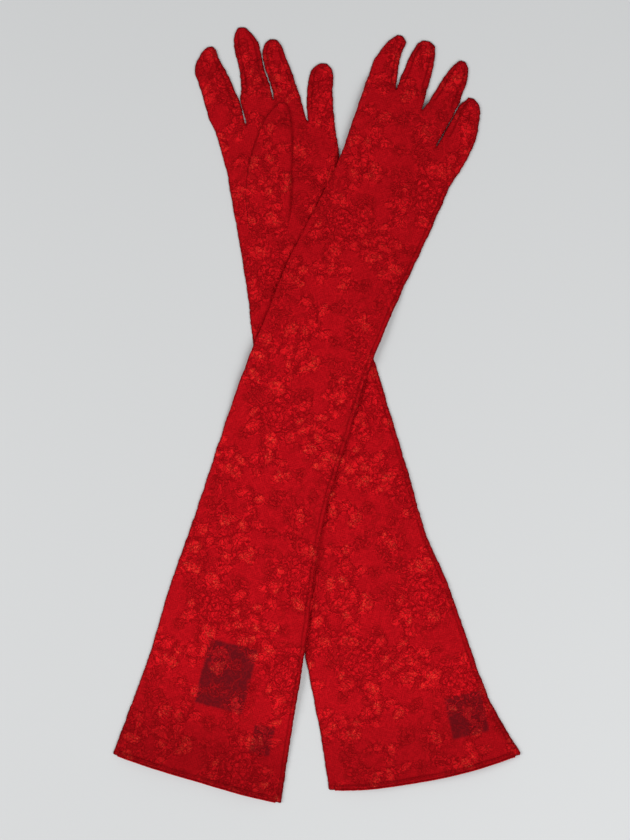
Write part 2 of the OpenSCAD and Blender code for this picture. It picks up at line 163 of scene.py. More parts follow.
# Spacing of the places where the side seam is measured
SEAM_EVERY = 3.0
# The labels' mesh spacing, the length of their fold and the gap between their two leaves
LABEL_STEP, LABEL_FOLD, LABEL_GAP = 0.6, 0.3, 0.18
# The least width given to a sheet's measured extent, in metres
SLIMMEST = 0.0101

# Metres: the tall side and the middle of the camera's view, the floor's half side and height, and
# half the distance over which its painted light, shaded on the left and lit on the right, blends
VIEW_TALL, VIEW_X, VIEW_Y = 0.630, -0.0015, -0.00375
FLOOR_HALF, FLOOR_Z, FLOOR_BLEND = 6, -0.0003, 0.35

# Linear colours
GROUND = (0.490, 0.0040, 0.0090)
MOTIF = (0.680, 0.0064, 0.0120)
BRIGHT = (0.74, 0.016, 0.018)
# Painted glints on the leaves' shiny thread: its specks, and its brightest points
SPECK_GLINT = (1.0, 0.060, 0.026)
GLINT = (1.0, 0.18, 0.08)
SHADE = (0.200, 0.0010, 0.0030)
LABEL = (0.080, 0.0050, 0.0085)
# Painted light on the floor: its shaded left side and its lit right side
FLOOR_SHADED_LEFT = (0.630, 0.640, 0.645)
FLOOR_LIT_RIGHT = (0.700, 0.712, 0.718)


class Grid:
    """Evenly spaced points over a box in the XY plane."""

    def __init__(self, low, high, step):
        self.step = step
        self.x = np.arange(low[0], high[0] + step, step)
        self.y = np.arange(low[1], high[1] + step, step)
        self.X, self.Y = np.meshgrid(self.x, self.y)

    def sample(self, values, x, y):
        """Values between the grid's points."""
        j = np.clip((x - self.x[0]) / self.step, 0, len(self.x) - 1.001)
        i = np.clip((y - self.y[0]) / self.step, 0, len(self.y) - 1.001)
        return between(values, i, j)


def between(values, i, j):
    """Bilinear values at fractional rows and columns, wrapped round the array."""
    rows, cols = values.shape
    i0, j0 = np.floor(i).astype(int), np.floor(j).astype(int)
    fi, fj = i - i0, j - j0
    i0, j0, i1, j1 = i0 % rows, j0 % cols, (i0 + 1) % rows, (j0 + 1) % cols
    low = values[i0, j0] * (1 - fj) + values[i0, j1] * fj
    high = values[i1, j0] * (1 - fj) + values[i1, j1] * fj
    return low * (1 - fi) + high * fi


def smooth(t):
    t = np.clip(t, 0, 1)
    return t * t * (3 - 2 * t)


def box_blur(a, width, axis):
    """Running mean over an odd number of points along one axis."""
    half = width // 2
    pad = [(0, 0)] * a.ndim
    pad[axis] = (half + 1, half)
    total = np.cumsum(np.pad(a, pad, mode="edge"), axis=axis)
    count = total.shape[axis]
    late = np.take(total, range(width, count), axis=axis)
    early = np.take(total, range(0, count - width), axis=axis)
    return (late - early) / width


def blur(a, sigma):
    """Near-Gaussian blur, sigma in grid points."""
    width = max(3, int(round(math.sqrt(4 * sigma * sigma + 1))) // 2 * 2 + 1)
    for _ in range(3):
        a = box_blur(box_blur(a, width, 0), width, 1)
    return a


def spread(a, mask, sigma):
    """Blur that takes only the values inside a mask."""
    weight = blur(mask.astype(float), sigma)
    return blur(np.where(mask, a, 0), sigma) / np.maximum(weight, 1e-6)


def points_of(mesh):
    points = np.empty(len(mesh.vertices) * 3)
    mesh.vertices.foreach_get("co", points)
    return points.reshape(-1, 3)


def corners_of(*nodes):
    """The corners of CAD nodes' triangles, three after one another for each."""
    found = []
    for node in nodes:
        mesh = frame["nodes"][node].data
        mesh.calc_loop_triangles()
        index = np.empty(len(mesh.loop_triangles) * 3, dtype=np.int32)
        mesh.loop_triangles.foreach_get("vertices", index)
        found.append(points_of(mesh)[index] / MM)
    return np.concatenate(found)


def heights(grid, *nodes):
    """Highest and lowest surface of CAD nodes over each grid point, infinite where there is none."""
    top = np.full(grid.X.shape, -np.inf)
    low = np.full(grid.X.shape, np.inf)
    triangles = corners_of(*nodes).reshape(-1, 3, 3)
    origin = (grid.x[0], grid.y[0])
    first = np.maximum(0, np.ceil((triangles.min(1)[:, :2] - origin) / grid.step)).astype(int)
    last = np.floor((triangles.max(1)[:, :2] - origin) / grid.step).astype(int) + 1
    for points, (j0, i0), (j1, i1) in zip(triangles.tolist(), first.tolist(), last.tolist()):
        (x0, y0, z0), (x1, y1, z1), (x2, y2, z2) = points
        det = (x1 - x0) * (y2 - y0) - (x2 - x0) * (y1 - y0)
        if abs(det) < 1e-5 or j1 <= j0 or i1 <= i0:
            continue
        px = grid.x[None, j0:j1] - x0
        py = grid.y[i0:i1, None] - y0
        u = (px * (y2 - y0) - (x2 - x0) * py) / det
        v = ((x1 - x0) * py - px * (y1 - y0)) / det
        inside = (u >= -1e-6) & (v >= -1e-6) & (u + v <= 1 + 1e-6)
        z = z0 + u * (z1 - z0) + v * (z2 - z0)
        part = np.s_[i0:i1, j0:j1]
        top[part] = np.maximum(top[part], np.where(inside, z, -np.inf))
        low[part] = np.minimum(low[part], np.where(inside, z, np.inf))
    return top, low


def covers(grid, *nodes):
    return np.isfinite(heights(grid, *nodes)[0])


def soft_cover(grid, sigma, *nodes):
    """1 where there is a CAD node and 0 where there is none, with a soft edge."""
    return blur(covers(grid, *nodes).astype(float), sigma)


def grid_quads(rows, cols):
    """The four points round each cell of a grid whose points are counted row by row."""
    index = np.arange(rows * cols).reshape(rows, cols)
    return np.stack([index[:-1, :-1], index[:-1, 1:], index[1:, 1:], index[1:, :-1]], -1).reshape(-1, 4)


def as_rows(*values):
    """One row of the values for each grid point."""
    return np.stack(np.broadcast_arrays(*values), -1).reshape(-1, len(values))


def unit(vectors):
    return vectors / np.linalg.norm(vectors, axis=-1, keepdims=True)


def nearest_seed(x, y, seeds):
    """The nearest seed point to each grid point, by index, and how far it is, by jump flooding."""
    def away(index):
        return np.where(index < 0, 1e4, np.hypot(x.ravel()[index] - x, y.ravel()[index] - y))

    nearest = np.where(seeds, np.arange(x.size).reshape(x.shape), -1)
    best = away(nearest)
    reach = 32
    while reach >= min(x.shape):
        reach //= 2
    while reach >= 1:
        for di in (-reach, 0, reach):
            for dj in (-reach, 0, reach):
                around = np.pad(nearest, reach, constant_values=-1)
                other = around[reach - di :, reach - dj :][: x.shape[0], : x.shape[1]]
                distance = away(other)
                nearer = distance < best
                nearest, best = np.where(nearer, other, nearest), np.where(nearer, distance, best)
        reach //= 2
    return nearest, best


def ripple(x, y, length, seed):
    """A smooth random field from a few waves, about -1 to 1."""
    rng = np.random.default_rng(seed)
    total = np.zeros_like(x)
    for _ in range(7):
        angle = rng.uniform(0, 2 * math.pi)
        k = 2 * math.pi / (length * rng.uniform(0.7, 1.6))
        total += np.sin(k * (x * math.cos(angle) + y * math.sin(angle)) + rng.uniform(0, 6.3))
    return total / 3


def waves(x, y, parts, later=0):
    """The sum of ripples given by size, length and seed, with the seeds moved on by later."""
    return sum(size * ripple(x, y, length, seed + later) for size, length, seed in parts)


def moved(x, y, distance, angle):
    """The place a distance away at an angle in radians."""
    return x + distance * math.cos(angle), y + distance * math.sin(angle)


class Lace:
    """A drawn lace design that repeats, each column of repeats half a repeat above the last."""

    def __init__(self):
        shape = (round(REPEAT[1] / DOT), round(2 * REPEAT[0] / DOT))
        self.motif = np.zeros(shape)
        self.bright = np.zeros(shape)
        self.line = np.zeros(shape)

    def windows(self, x, y, reach):
        """The dots within reach of a place, in both columns, with their offsets from it."""
        rows, cols = self.motif.shape
        count = int(reach / DOT) + 2
        near = np.arange(-count, count + 1)
        for cx, cy in ((x, y), (x + REPEAT[0], y + REPEAT[1] / 2)):
            i, j = round(cy / DOT) + near, round(cx / DOT) + near
            yield np.ix_(i % rows, j % cols), j[None, :] * DOT - cx, i[:, None] * DOT - cy

    def paint(self, at, depth, bright=0.0, height=1.0, rim=0.6):
        """Lay a shape over what is drawn, with a dark line of painted shade round it: depth is the distance
        inside its edge.
        """
        inside = np.clip(depth / DOT + 0.5, 0, 1)
        edge = rim * np.exp(-((depth / 0.6) ** 2))
        self.motif[at] = self.motif[at] * (1 - inside) + inside * height
        self.bright[at] = self.bright[at] * (1 - inside) + inside * bright
        self.line[at] = np.maximum(self.line[at] * (1 - inside), edge)

    def disc(self, x, y, radius, **look):
        for at, dx, dy in self.windows(x, y, radius + 1.5):
            self.paint(at, radius - np.hypot(dx, dy), **look)

    def cord(self, points, width=1.5, height=1.0, rim=0.9, bright=0.04):
        """A raised cord along a smooth curve through points."""
        for x, y in curve(points, 0.5):
            self.disc(x, y, width / 2, height=height, rim=rim, bright=bright)

    def leaf(self, x, y, angle, length, width, bright):
        """A teardrop from its stem at x, y, filled with shiny thread that fades towards its edge."""
        a = math.radians(angle)
        for at, dx, dy in self.windows(x, y, length + 1.5):
            s = (dx * math.cos(a) + dy * math.sin(a)) / length
            t = np.abs(dy * math.cos(a) - dx * math.sin(a))
            half = width / 2 * np.sin(math.pi * np.clip(s, 0, 1) ** 1.1) ** 0.5
            depth = np.where((s > 0) & (s < 1), half - t, -5.0)
            fill = bright * smooth((depth + 0.8) / (0.5 * width + 0.8)) * (0.45 + 0.55 * s)
            self.paint(at, depth, fill, 0.8, 0.55)
            vein = 0.7 * np.exp(-((t / 0.4) ** 2)) * (s < 0.45)
            self.line[at] = np.maximum(self.line[at], vein * (depth > 0.3))

    def fan(self, x, y, angle, size, bright):
        """A bell of three leaves from one stem, with a curled lip."""
        for turn in (-42, 42, 0):
            self.leaf(x, y, angle + turn, size, size * 0.6, bright)

    def rose(self, x, y, radius, turn):
        """Rings of overlapping petals, the outer ones first, drawn in dark lines."""
        rings = ((6, 0.62, 0.42), (5, 0.42, 0.38), (3, 0.20, 0.30), (1, 0.05, 0.14))
        for ring, (count, reach, size) in enumerate(rings):
            for k in range(count):
                petal = moved(x, y, radius * reach, math.radians(turn + 360 * k / count + 31 * ring))
                self.disc(*petal, radius * size, height=0.4 + 0.15 * ring, rim=1.0)
        for at, dx, dy in self.windows(x, y, radius):
            away = np.hypot(dx, dy) / radius
            rays = np.sin(np.arctan2(dy, dx) * 9 + 7 * away)
            band = smooth((away - 0.3) / 0.1) * smooth((0.85 - away) / 0.1)
            self.line[at] = np.maximum(self.line[at], 0.6 * smooth((rays - 0.6) / 0.4) * band)

    def crown(self, x, y, radius, turn, count, length, bright):
        """Leaves that stand round a rose, every other one turned along its edge."""
        for k in range(count):
            angle = turn + 360 * k / count + 9 * math.sin(2.4 * k)
            size = length * (1 + 0.25 * math.sin(1.7 * k))
            lean = 55 * (k % 2) + 15 * math.sin(3.1 * k)
            stem = moved(x, y, radius, math.radians(angle))
            self.leaf(*stem, angle + lean, size, size * 0.68, bright * (1.0 if k % 2 else 0.30))

    def scroll(self, x, y, radius, start, turns, width=1.4):
        """A cord that curls in on itself."""
        steps = 14
        points = []
        for k in range(steps + 1):
            f = k / steps
            angle = math.radians(start + 360 * turns * f)
            points.append(moved(x, y, radius * (1 - 0.85 * f), angle))
        self.cord(points, width)

    def tendrils(self, places, reach, count, seed):
        """Short curly cords scattered near the given places."""
        rng = np.random.default_rng(seed)
        for _ in range(count):
            place = places[rng.integers(len(places))]
            x, y = moved(*place, rng.uniform(0.4, 1) * reach, rng.uniform(0, 2 * math.pi))
            heading, bend = rng.uniform(0, 2 * math.pi), rng.choice((-1, 1)) * rng.uniform(0.5, 1.1)
            points = [(x, y)]
            for k in range(5):
                heading += bend * (1 if k < 3 else -1.2)
                x, y = moved(x, y, 2.6, heading)
                points.append((x, y))
            self.cord(points, rng.uniform(0.9, 1.4), 0.8, 0.75)


def curve(points, spacing):
    """Evenly spaced points on the Catmull-Rom curve through points."""
    p = np.array([points[0], *points, points[-1]], float)
    out = []
    for k in range(1, len(p) - 2):
        a, b, c, d = p[k - 1 : k + 3]
        count = max(2, int(np.linalg.norm(c - b) / spacing))
        t = (np.arange(count) / count)[:, None]
        out.append(0.5 * (2 * b + (c - a) * t + (2 * a - 5 * b + 4 * c - d) * t**2
                          + (3 * b - a - 3 * c + d) * t**3))
    out.append(p[-1:])
    return np.concatenate(out)


def drawn_lace():
    """Roses crowned with shiny leaves, joined by leafy vines, scrolls and tendrils."""
    lace = Lace()
    roses = ((28, 32, 12.5, 10), (84, 66, 12, 40), (38, 110, 13, 70))
    fans = ((64, 12, 70, 9), (101, 112, 200, 9), (8, 74, 20, 8.5), (70, 132, -40, 9), (104, 20, 130, 8.5),
            (60, 92, 250, 8), (2, 128, -70, 8.5))
    lace.tendrils([(x, y) for x, y, *_ in roses], 26, 110, 3)
    lace.tendrils([(x, y) for x, y, *_ in fans], 14, 70, 4)
    vines = (
        [(34, 46), (42, 56), (38, 70), (47, 82), (42, 96)],
        [(42, 26), (54, 20), (66, 28), (80, 24), (92, 32), (88, 46)],
        [(84, 80), (78, 92), (88, 104), (82, 118), (92, 132), (88, 146), (80, 158)],
        [(52, 108), (64, 114), (78, 108), (92, 114)],
        [(16, 26), (6, 16), (8, 0), (-4, -10)],
        [(24, 114), (14, 122), (16, 136), (4, 146)],
        [(96, 60), (108, 54), (116, 62), (128, 58)],
    )
    for points in vines:
        lace.cord(points)
        along = curve(points, 10.5)
        for k in range(1, len(along) - 1):
            x, y = along[k]
            dx, dy = along[k + 1] - along[k - 1]
            angle = math.degrees(math.atan2(dy, dx)) + (58 if k % 2 else -58)
            lace.leaf(x, y, angle, 9 + 2 * math.sin(2.1 * k + x), 6.2, 0.9 if k % 3 == 1 else 0.15)
    for x, y, radius, start, turns in (
        (62, 74, 6, 200, 1.4), (10, 58, 6.5, 20, 1.4), (100, 88, 6, 150, 1.5), (56, 138, 6.5, 300, 1.5),
        (104, 4, 5.5, 90, 1.4), (54, 2, 5.5, 250, 1.5), (18, 92, 5, 120, 1.3), (108, 130, 5.5, 0, 1.5),
        (64, 44, 5, 60, 1.3), (28, 140, 5, 170, 1.3), (2, 104, 5, 240, 1.4),
    ):
        lace.scroll(x, y, radius, start, turns)
    for x, y, angle, size in fans:
        lace.fan(x, y, angle, size, 0.85)
    for k, (x, y, radius, turn) in enumerate(roses):
        lace.crown(x, y, radius + 2.5, turn, 7 + k % 2, 10.5, 0.95)
        lace.rose(x, y, radius, turn)
    margin = 40
    wide = np.pad(lace.motif, margin, mode="wrap")
    dense = blur((wide > 0.3).astype(float), 7)[margin:-margin, margin:-margin]
    lace.zone = smooth((dense - 0.16) / 0.26)
    return lace


LACE = drawn_lace()


def lace_at(x, y, angle, shift):
    """The lace's four values at points, its length turned to angle and moved by shift."""
    c, s = math.cos(angle), math.sin(angle)
    u = (-x * s + y * c + shift[0] + waves(x, y, DRIFT)) / DOT
    v = (x * c + y * s + shift[1] + waves(x, y, DRIFT, 1)) / DOT
    return [between(values, v, -u) for values in (LACE.motif, LACE.bright, LACE.line, LACE.zone)]


def new_material(name):
    """A material, its node tree and the place on the piece."""
    material = bpy.data.materials.new(name)
    material.use_nodes = True
    tree = material.node_tree
    tree.nodes.clear()
    return material, tree, add(tree, "ShaderNodeTexCoord").outputs["Object"]


def add(tree, kind, inputs=(), **settings):
    """A node with its settings, and its inputs by name or number: a value, or a socket to link."""
    node = tree.nodes.new(kind)
    for key, value in settings.items():
        setattr(node, key, value)
    for key, value in dict(inputs).items():
        if isinstance(value, bpy.types.NodeSocket):
            tree.links.new(value, node.inputs[key])
        else:
            node.inputs[key].default_value = value
    return node


def math_node(tree, operation, a, b=0.0, clamp=False):
    return add(tree, "ShaderNodeMath", {0: a, 1: b}, operation=operation, use_clamp=clamp).outputs[0]


def mix_colour(tree, share, a, b):
    a, b = ((*c, 1) if isinstance(c, tuple) else c for c in (a, b))
    return add(tree, "ShaderNodeMix", {0: share, 6: a, 7: b}, data_type="RGBA").outputs[2]


def channels(tree, name):
    """The four numbers of a mesh's colour attribute."""
    attribute = add(tree, "ShaderNodeAttribute", attribute_name=name)
    parts = add(tree, "ShaderNodeSeparateColor", {0: attribute.outputs["Color"]})
    return [*parts.outputs, attribute.outputs["Alpha"]]


def noise(tree, coords, scale, detail=2, roughness=0.5):
    inputs = {"Scale": scale, "Detail": detail, "Roughness": roughness, "Vector": coords}
    return add(tree, "ShaderNodeTexNoise", inputs).outputs["Fac"]


def ramp(tree, value, low, high):
    """0 below low and 1 above high, smooth between."""
    inputs = {"From Min": low, "From Max": high, "Value": value}
    return add(tree, "ShaderNodeMapRange", inputs, interpolation_type="SMOOTHSTEP").outputs["Result"]


def net(tree, coords, turn, period):
    """A fine square net, uneven by hand: 1 on a thread, 0 in a hole."""
    turned = add(tree, "ShaderNodeMapping", {"Rotation": (0, 0, turn), "Vector": coords}).outputs[0]
    # A wave texture of scale 1 goes through 20 radians in a metre
    scale = 2 * math.pi / (20 * period * MM)
    inputs = {"Scale": scale, "Distortion": 1.2, "Detail": 1, "Detail Scale": 0.4, "Vector": turned}
    threads = [add(tree, "ShaderNodeTexWave", inputs, bands_direction=way).outputs["Fac"] for way in "XY"]
    return math_node(tree, "MAXIMUM", *threads)


def squiggles(tree, coords, scale, width):
    """Thin curly lines of painted shade, where a noise crosses its middle, with a raised cord along one side.
    """
    level = noise(tree, coords, scale, 1, 0.45)
    lines = []
    for middle, inner, outer in ((0.5, 0.25, 1.0), (0.5 + 2 * width, 0.5, 1.6)):
        away = math_node(tree, "ABSOLUTE", math_node(tree, "SUBTRACT", level, middle))
        lines.append(math_node(tree, "SUBTRACT", 1, ramp(tree, away, inner * width, outer * width)))
    return lines


def scaled(colour, factor):
    return tuple(c * factor for c in colour)


def surface(tree, inputs, height=None, strength=0.0, depth=0.0):
    """The shader, with a bump of the given depth in millimetres where there is a height."""
    if height is not None:
        bump = {"Height": height, "Strength": strength, "Distance": depth * MM}
        inputs["Normal"] = add(tree, "ShaderNodeBump", bump).outputs[0]
    shader = add(tree, "ShaderNodeBsdfPrincipled", inputs)
    add(tree, "ShaderNodeOutputMaterial", {"Surface": shader.outputs[0]})


def lace_material(name, turn, tone=1.0):
    """Lace: a fine net with denser raised motifs and shiny thread in the leaves, with painted shade round its
    raised parts and painted glints on that thread.
    """
    material, tree, coords = new_material(name)
    motif, bright, line, zone = channels(tree, "lace")
    edge, doubled, under, dense = channels(tree, "sewn")

    def times(a, b):
        return math_node(tree, "MULTIPLY", a, b, clamp=True)

    def most(a, b):
        return math_node(tree, "MAXIMUM", a, b)

    threads = net(tree, coords, turn, NET)
    grain = noise(tree, coords, 950, 2, 0.7)
    # Where a noise is high: its scale, detail and roughness, and the values it comes on between
    clouds, speck, gap, glint = (ramp(tree, noise(tree, coords, *look), low, high) for look, low, high in (
        ((38, 2, 0.5), 0.42, 0.72), ((600, 1, 0.6), 0.52, 0.60),
        ((470, 1, 0.6), 0.56, 0.63), ((1500, 0, 0.5), 0.68, 0.76)))
    # The squiggles are wide and narrow, and fainter out in the net than among the motifs
    dark_wide, cord_wide = squiggles(tree, coords, 190, 0.034)
    dark_narrow, cord_narrow = squiggles(tree, coords, 330, 0.050)
    netted = math_node(tree, "ADD", times(zone, 0.72), 0.28)
    dark = times(most(dark_wide, times(dark_narrow, 0.9)), netted)
    cord = times(most(cord_wide, times(cord_narrow, 0.9)), netted)
    covering = most(most(motif, cord), times(zone, 0.40))
    open_net = math_node(tree, "SUBTRACT", 1, times(covering, 0.58))

    ground = mix_colour(tree, threads, scaled(GROUND, 0.80 * tone), scaled(GROUND, 1.10 * tone))
    ground = mix_colour(tree, ramp(tree, grain, 0.25, 0.60), scaled(SHADE, 1.9), ground)
    body = mix_colour(tree, grain, scaled(MOTIF, 0.66 * tone), scaled(MOTIF, 1.26 * tone))
    colour = mix_colour(tree, motif, ground, body)
    # What is laid over that in turn: where, how strongly, in which colour, and how light
    layers = (
        (clouds, 0.16, SHADE, 1.6),
        (bright, 0.13, BRIGHT, tone),
        # Specks of painted glints on the leaves' shiny thread
        (times(bright, speck), 0.74, SPECK_GLINT, tone),
        (times(bright, gap), 0.60, SHADE, 1.5 * tone),
        # The squiggles' cords a lighter red, partly painted light on their ridges, and painted shade beside
        # them
        (cord, 0.55, MOTIF, 1.35 * tone),
        (dark, 0.62, SHADE, tone),
        # Dark lines of painted shade round the raised motifs
        (line, 0.64, SHADE, tone),
        (doubled, 0.30, SHADE, 1.4),
        (times(under, open_net), 0.82, LABEL, 1),
        # Painted shade along the cloth's edges, with the lines of the seams and forks
        (edge, 0.75, SHADE, 0.7),
        (times(glint, bright), 0.8, GLINT, 1),
        # Darker on the hand and at the cuffs
        (dense, 0.35, SHADE, 0.6),
    )
    for where, strength, over, light in layers:
        colour = mix_colour(tree, times(where, strength), colour, scaled(over, light))

    fine = math_node(tree, "ADD", math_node(tree, "MULTIPLY", threads, 0.4),
                     math_node(tree, "MULTIPLY", grain, 0.8))
    height = math_node(tree, "ADD", fine, math_node(tree, "SUBTRACT", cord, dark))
    solid = math_node(tree, "MULTIPLY", most(motif, doubled), 0.07)
    surface(tree, {
        "Base Color": colour,
        "Roughness": math_node(tree, "SUBTRACT", 0.78, math_node(tree, "MULTIPLY", bright, 0.28)),
        "Specular IOR Level": 0.06,
        "Specular Tint": (1.0, 0.40, 0.32, 1),
        "Sheen Weight": 0.03,
        "Sheen Roughness": 0.45,
        "Sheen Tint": (1.0, 0.25, 0.22, 1),
        "Alpha": math_node(tree, "ADD", 0.93, solid, clamp=True),
    }, height, 0.8, 0.3)
    return material


def plain_material(name, dark, light, period, roughness):
    """Thread or tape: two tones in a fine weave."""
    material, tree, coords = new_material(name)
    weave = math_node(tree, "MULTIPLY", net(tree, coords, 0.2, period), noise(tree, coords, 700, 2))
    colour = mix_colour(tree, math_node(tree, "MULTIPLY", weave, 1.6, clamp=True), dark, light)
    surface(tree, {"Base Color": colour, "Roughness": roughness, "Specular IOR Level": 0.06},
            weave, 0.5, 0.2)
    return material


def new_object(name, data):
    thing = bpy.data.objects.new(name, data)
    bpy.context.collection.objects.link(thing)
    return thing


def make_piece(name, points, quads, tris, material, attributes=()):
    """A smooth mesh of the given quads and triangles, with only the points they use."""
    quads, tris = np.asarray(quads, int).reshape(-1, 4), np.asarray(tris, int).reshape(-1, 3)
    used, index = np.unique(np.concatenate([quads.ravel(), tris.ravel()]), return_inverse=True)
    quads, tris = index[: quads.size].reshape(-1, 4), index[quads.size :].reshape(-1, 3)
    mesh = bpy.data.meshes.new(name)
    mesh.from_pydata((points[used] * MM).tolist(), [], quads.tolist() + tris.tolist())
    mesh.shade_smooth()
    for key, values in attributes:
        layer = mesh.attributes.new(key, "FLOAT_COLOR", "POINT")
        colours = np.ones((len(used), 4), np.float32)
        colours[:, : values.shape[1]] = values[used]
        layer.data.foreach_set("color", colours.ravel())
    mesh.materials.append(material)
    return new_object(name, mesh)


def sheet_points(x, y, *levels):
    """The points of one or more sheets over the same places, one sheet after the other."""
    return np.concatenate([as_rows(x, y, z) for z in levels])


def make_pouch(name, points, quads, tris, shared, material, attributes):
    """Two sheets as one piece: the upper one's faces, and below them the same turned over."""
    both = [np.concatenate([faces, np.where(shared[faces], faces, faces + len(shared))[:, ::-1]])
            for faces in (quads, tris)]
    return make_piece(name, points, *both, material, attributes)


class Cloth:
    """Two sheets of lace over one outline, on a grid whose border points sit on the outline."""

    def __init__(self, nodes, hem=None):
        plan = corners_of(*nodes)[:, :2]
        box = plan.min(0) - MARGIN, plan.max(0) + MARGIN
        self.fine, self.coarse = Grid(*box, FINE), Grid(*box, STEP)
        top, low = heights(self.fine, *nodes)
        mask = np.isfinite(top)
        field = blur(mask.astype(float), OUTLINE_BLUR)
        slope_y, slope_x = np.gradient(field, FINE)
        slope = np.maximum(np.hypot(slope_x, slope_y), SLOPE)
        x, y, f, steep = self.fine.X[COARSE], self.fine.Y[COARSE], field[COARSE], slope[COARSE]
        signed = np.where(steep > SLOPE, (f - 0.5) / steep, np.where(f > 0.5, FAR, -FAR))
        self.inner = signed > STEP / 2
        self.border = np.abs(signed) <= STEP / 2
        self.whole = self.inner | self.border
        pull = np.where(self.border, (0.5 - f) / steep**2, 0)
        self.x, self.y = x + pull * slope_x[COARSE], y + pull * slope_y[COARSE]
        self.mouth = np.zeros_like(self.border)
        if hem:
            self.mouth = self.border & (soft_cover(self.fine, 3, hem)[COARSE] > 0.12)
        self.rim, self.edge = (np.where(self.whole, nearest_seed(self.x, self.y, seeds)[1], 0)
                               for seeds in (self.border, self.border & ~self.mouth))
        inside = mask[COARSE]
        low, top = np.where(inside, low[COARSE], 0), np.where(inside, top[COARSE], 0)
        self.low_z = spread(low, inside, LOW_BLUR)
        self.thick = SLACK * spread(top - low, inside, THICK_BLUR)
        self.cells()
        self.close_slits(field, -np.stack([slope_x, slope_y]) / slope)

    def close_slits(self, field, normals):
        """How far each point moves so that fingers with a narrow, even slit between them lie side by side."""
        outward = np.stack([normal[COARSE] for normal in normals])
        gap = np.full(self.x.shape, SLIT_OPEN)
        for reach in np.arange(SLIT_OPEN, SLIT_LEAST, -SLIT_STEP):
            there = self.fine.sample(field, self.x + reach * outward[0], self.y + reach * outward[1]) > 0.5
            gap = np.where(self.border & there, reach, gap)
        across = [self.x + gap * outward[0], self.y + gap * outward[1]]
        facing = [self.fine.sample(normal, *across) for normal in normals]
        turned = np.arctan2(outward[0] * facing[1] - outward[1] * facing[0], -(outward * facing).sum(0))
        slit = self.border & (gap < SLIT_OPEN)
        uneven = spread(np.where(slit, np.degrees(np.abs(turned)), 0), slit, 6)
        narrow = 1 - smooth((gap - SLIT_SHUT) / (SLIT_OPEN - SLIT_SHUT))
        even = 1 - smooth((uneven - EVEN) / (UNEVEN - EVEN))
        push = np.where(slit, gap / 2 - SLIT_LEFT, 0) * narrow * even
        nearest, away = nearest_seed(self.x, self.y, self.border)
        moves = [(push * way).ravel()[nearest] * (1 - smooth(away / SLIT_REACH)) for way in outward]
        self.move_x, self.move_y = (np.where(self.whole, spread(m, self.whole, 1.2), 0) for m in moves)

    def cells(self):
        """The grid's quads and border triangles that lie inside the outline."""
        corner = grid_quads(*self.x.shape)
        inner, border = self.inner.ravel()[corner], self.border.ravel()[corner]
        good = inner | border
        some = inner.any(1)
        self.quads = corner[good.all(1) & some]
        three = (good.sum(1) == 3) & some
        missing = np.argmin(good[three], axis=1)
        order = (missing[:, None] + np.array([1, 2, 3])) % 4
        self.tris = np.take_along_axis(corner[three], order, 1)

    def centre(self, faces):
        """Where the middle of each face is."""
        return self.x.ravel()[faces].mean(1), self.y.ravel()[faces].mean(1)

    def height_at(self, values, sigma, x, y):
        """A sheet's height, smoothed over the cloth and read at any place."""
        return self.coarse.sample(spread(values, self.whole, sigma), x, y)

    def rounded(self):
        """Height of the upper sheet above the lower one, pulled in along the edge."""
        bulge = np.sqrt(np.clip(1 - (1 - np.clip(self.edge / ROUND, 0, 1)) ** 2, 0, 1))
        return EDGE + (np.maximum(self.thick, EDGE + LEAST_AIR) - EDGE) * bulge

    def lift_edge(self):
        """How far the lower sheet curls up to meet the upper one."""
        return EDGE * (1 - smooth(self.edge / CURL))


def outline_of(cover):
    """1 along the edge of a soft cover, where it goes from 0 to 1."""
    return 4 * cover * (1 - cover)


def rim_line(distance):
    """1 along the cloth's edge, where painted shade darkens it, and 0 a little way in."""
    return 1 - smooth((distance - RIM) / RIM_SOFT)


def relief_of(motif, bright, line, edge):
    return RELIEF * (motif + 0.2 * bright - 0.5 * line) * smooth(edge / 2)


def glove_axis(cloth):
    """The angle of the arm's length from the X axis."""
    _, vectors = np.linalg.eigh(np.cov(cloth.x[cloth.inner], cloth.y[cloth.inner]))
    x, y = vectors[:, 1] * np.sign(vectors[1, 1])
    return math.atan2(y, x)


def joint_of(child):
    return next(j for j in frame["joints"] if j["child"] == child)


def labels_of(side):
    return [node for node in frame["nodes"] if node.startswith(side) and node.endswith("_label")]


def fold_line(joint):
    """Where a finger's hinge is, its direction, and the way to the fingertip, all in the XY plane."""
    at = np.array(joint["pos_m"][:2]) / MM
    along = unit(np.array(joint["axis"][:2]))
    return at, along, np.array([-along[1], along[0]])


def regions(side, cloth, faces):
    """0 for the panels, 1 to 4 for the fingers and 5 to 8 for their forks, for each face."""
    x, y = cloth.centre(faces)
    region = np.zeros(len(faces), int)
    for n, finger in enumerate(FINGERS):
        at, along, out = fold_line(joint_of(f"{side}_{finger}"))
        node, fork = f"{side}_{finger}_finger", f"{side}_{FORKS[n]}"
        ends = corners_of(node, fork)[:, :2] - at
        half = np.abs(ends[np.abs(ends @ out) < FOLD_NEAR] @ along).max()
        ahead = (x - at[0]) * out[0] + (y - at[1]) * out[1]
        across = (x - at[0]) * along[0] + (y - at[1]) * along[1]
        finger_here, fork_here = (cloth.fine.sample(cloth.covers[name], x, y) for name in (node, fork))
        beyond = (ahead > 0) & (np.maximum(finger_here, fork_here) > 0.02)
        before = (ahead <= 0) & (ahead > -BACK) & (np.abs(across) < half + FOLD_WIDER)
        # A strip on each side that faces another finger carries its fork on over the hand's end
        to_next = (across > FORK_FROM * half) & (n < len(FINGERS) - 1)
        to_last = (across < -FORK_FROM * half) & (n > 0)
        region[beyond] = np.where(fork_here > finger_here, 5 + n, 1 + n)[beyond]
        region[before] = np.where(to_next | to_last, 5 + n, 1 + n)[before]
    return region


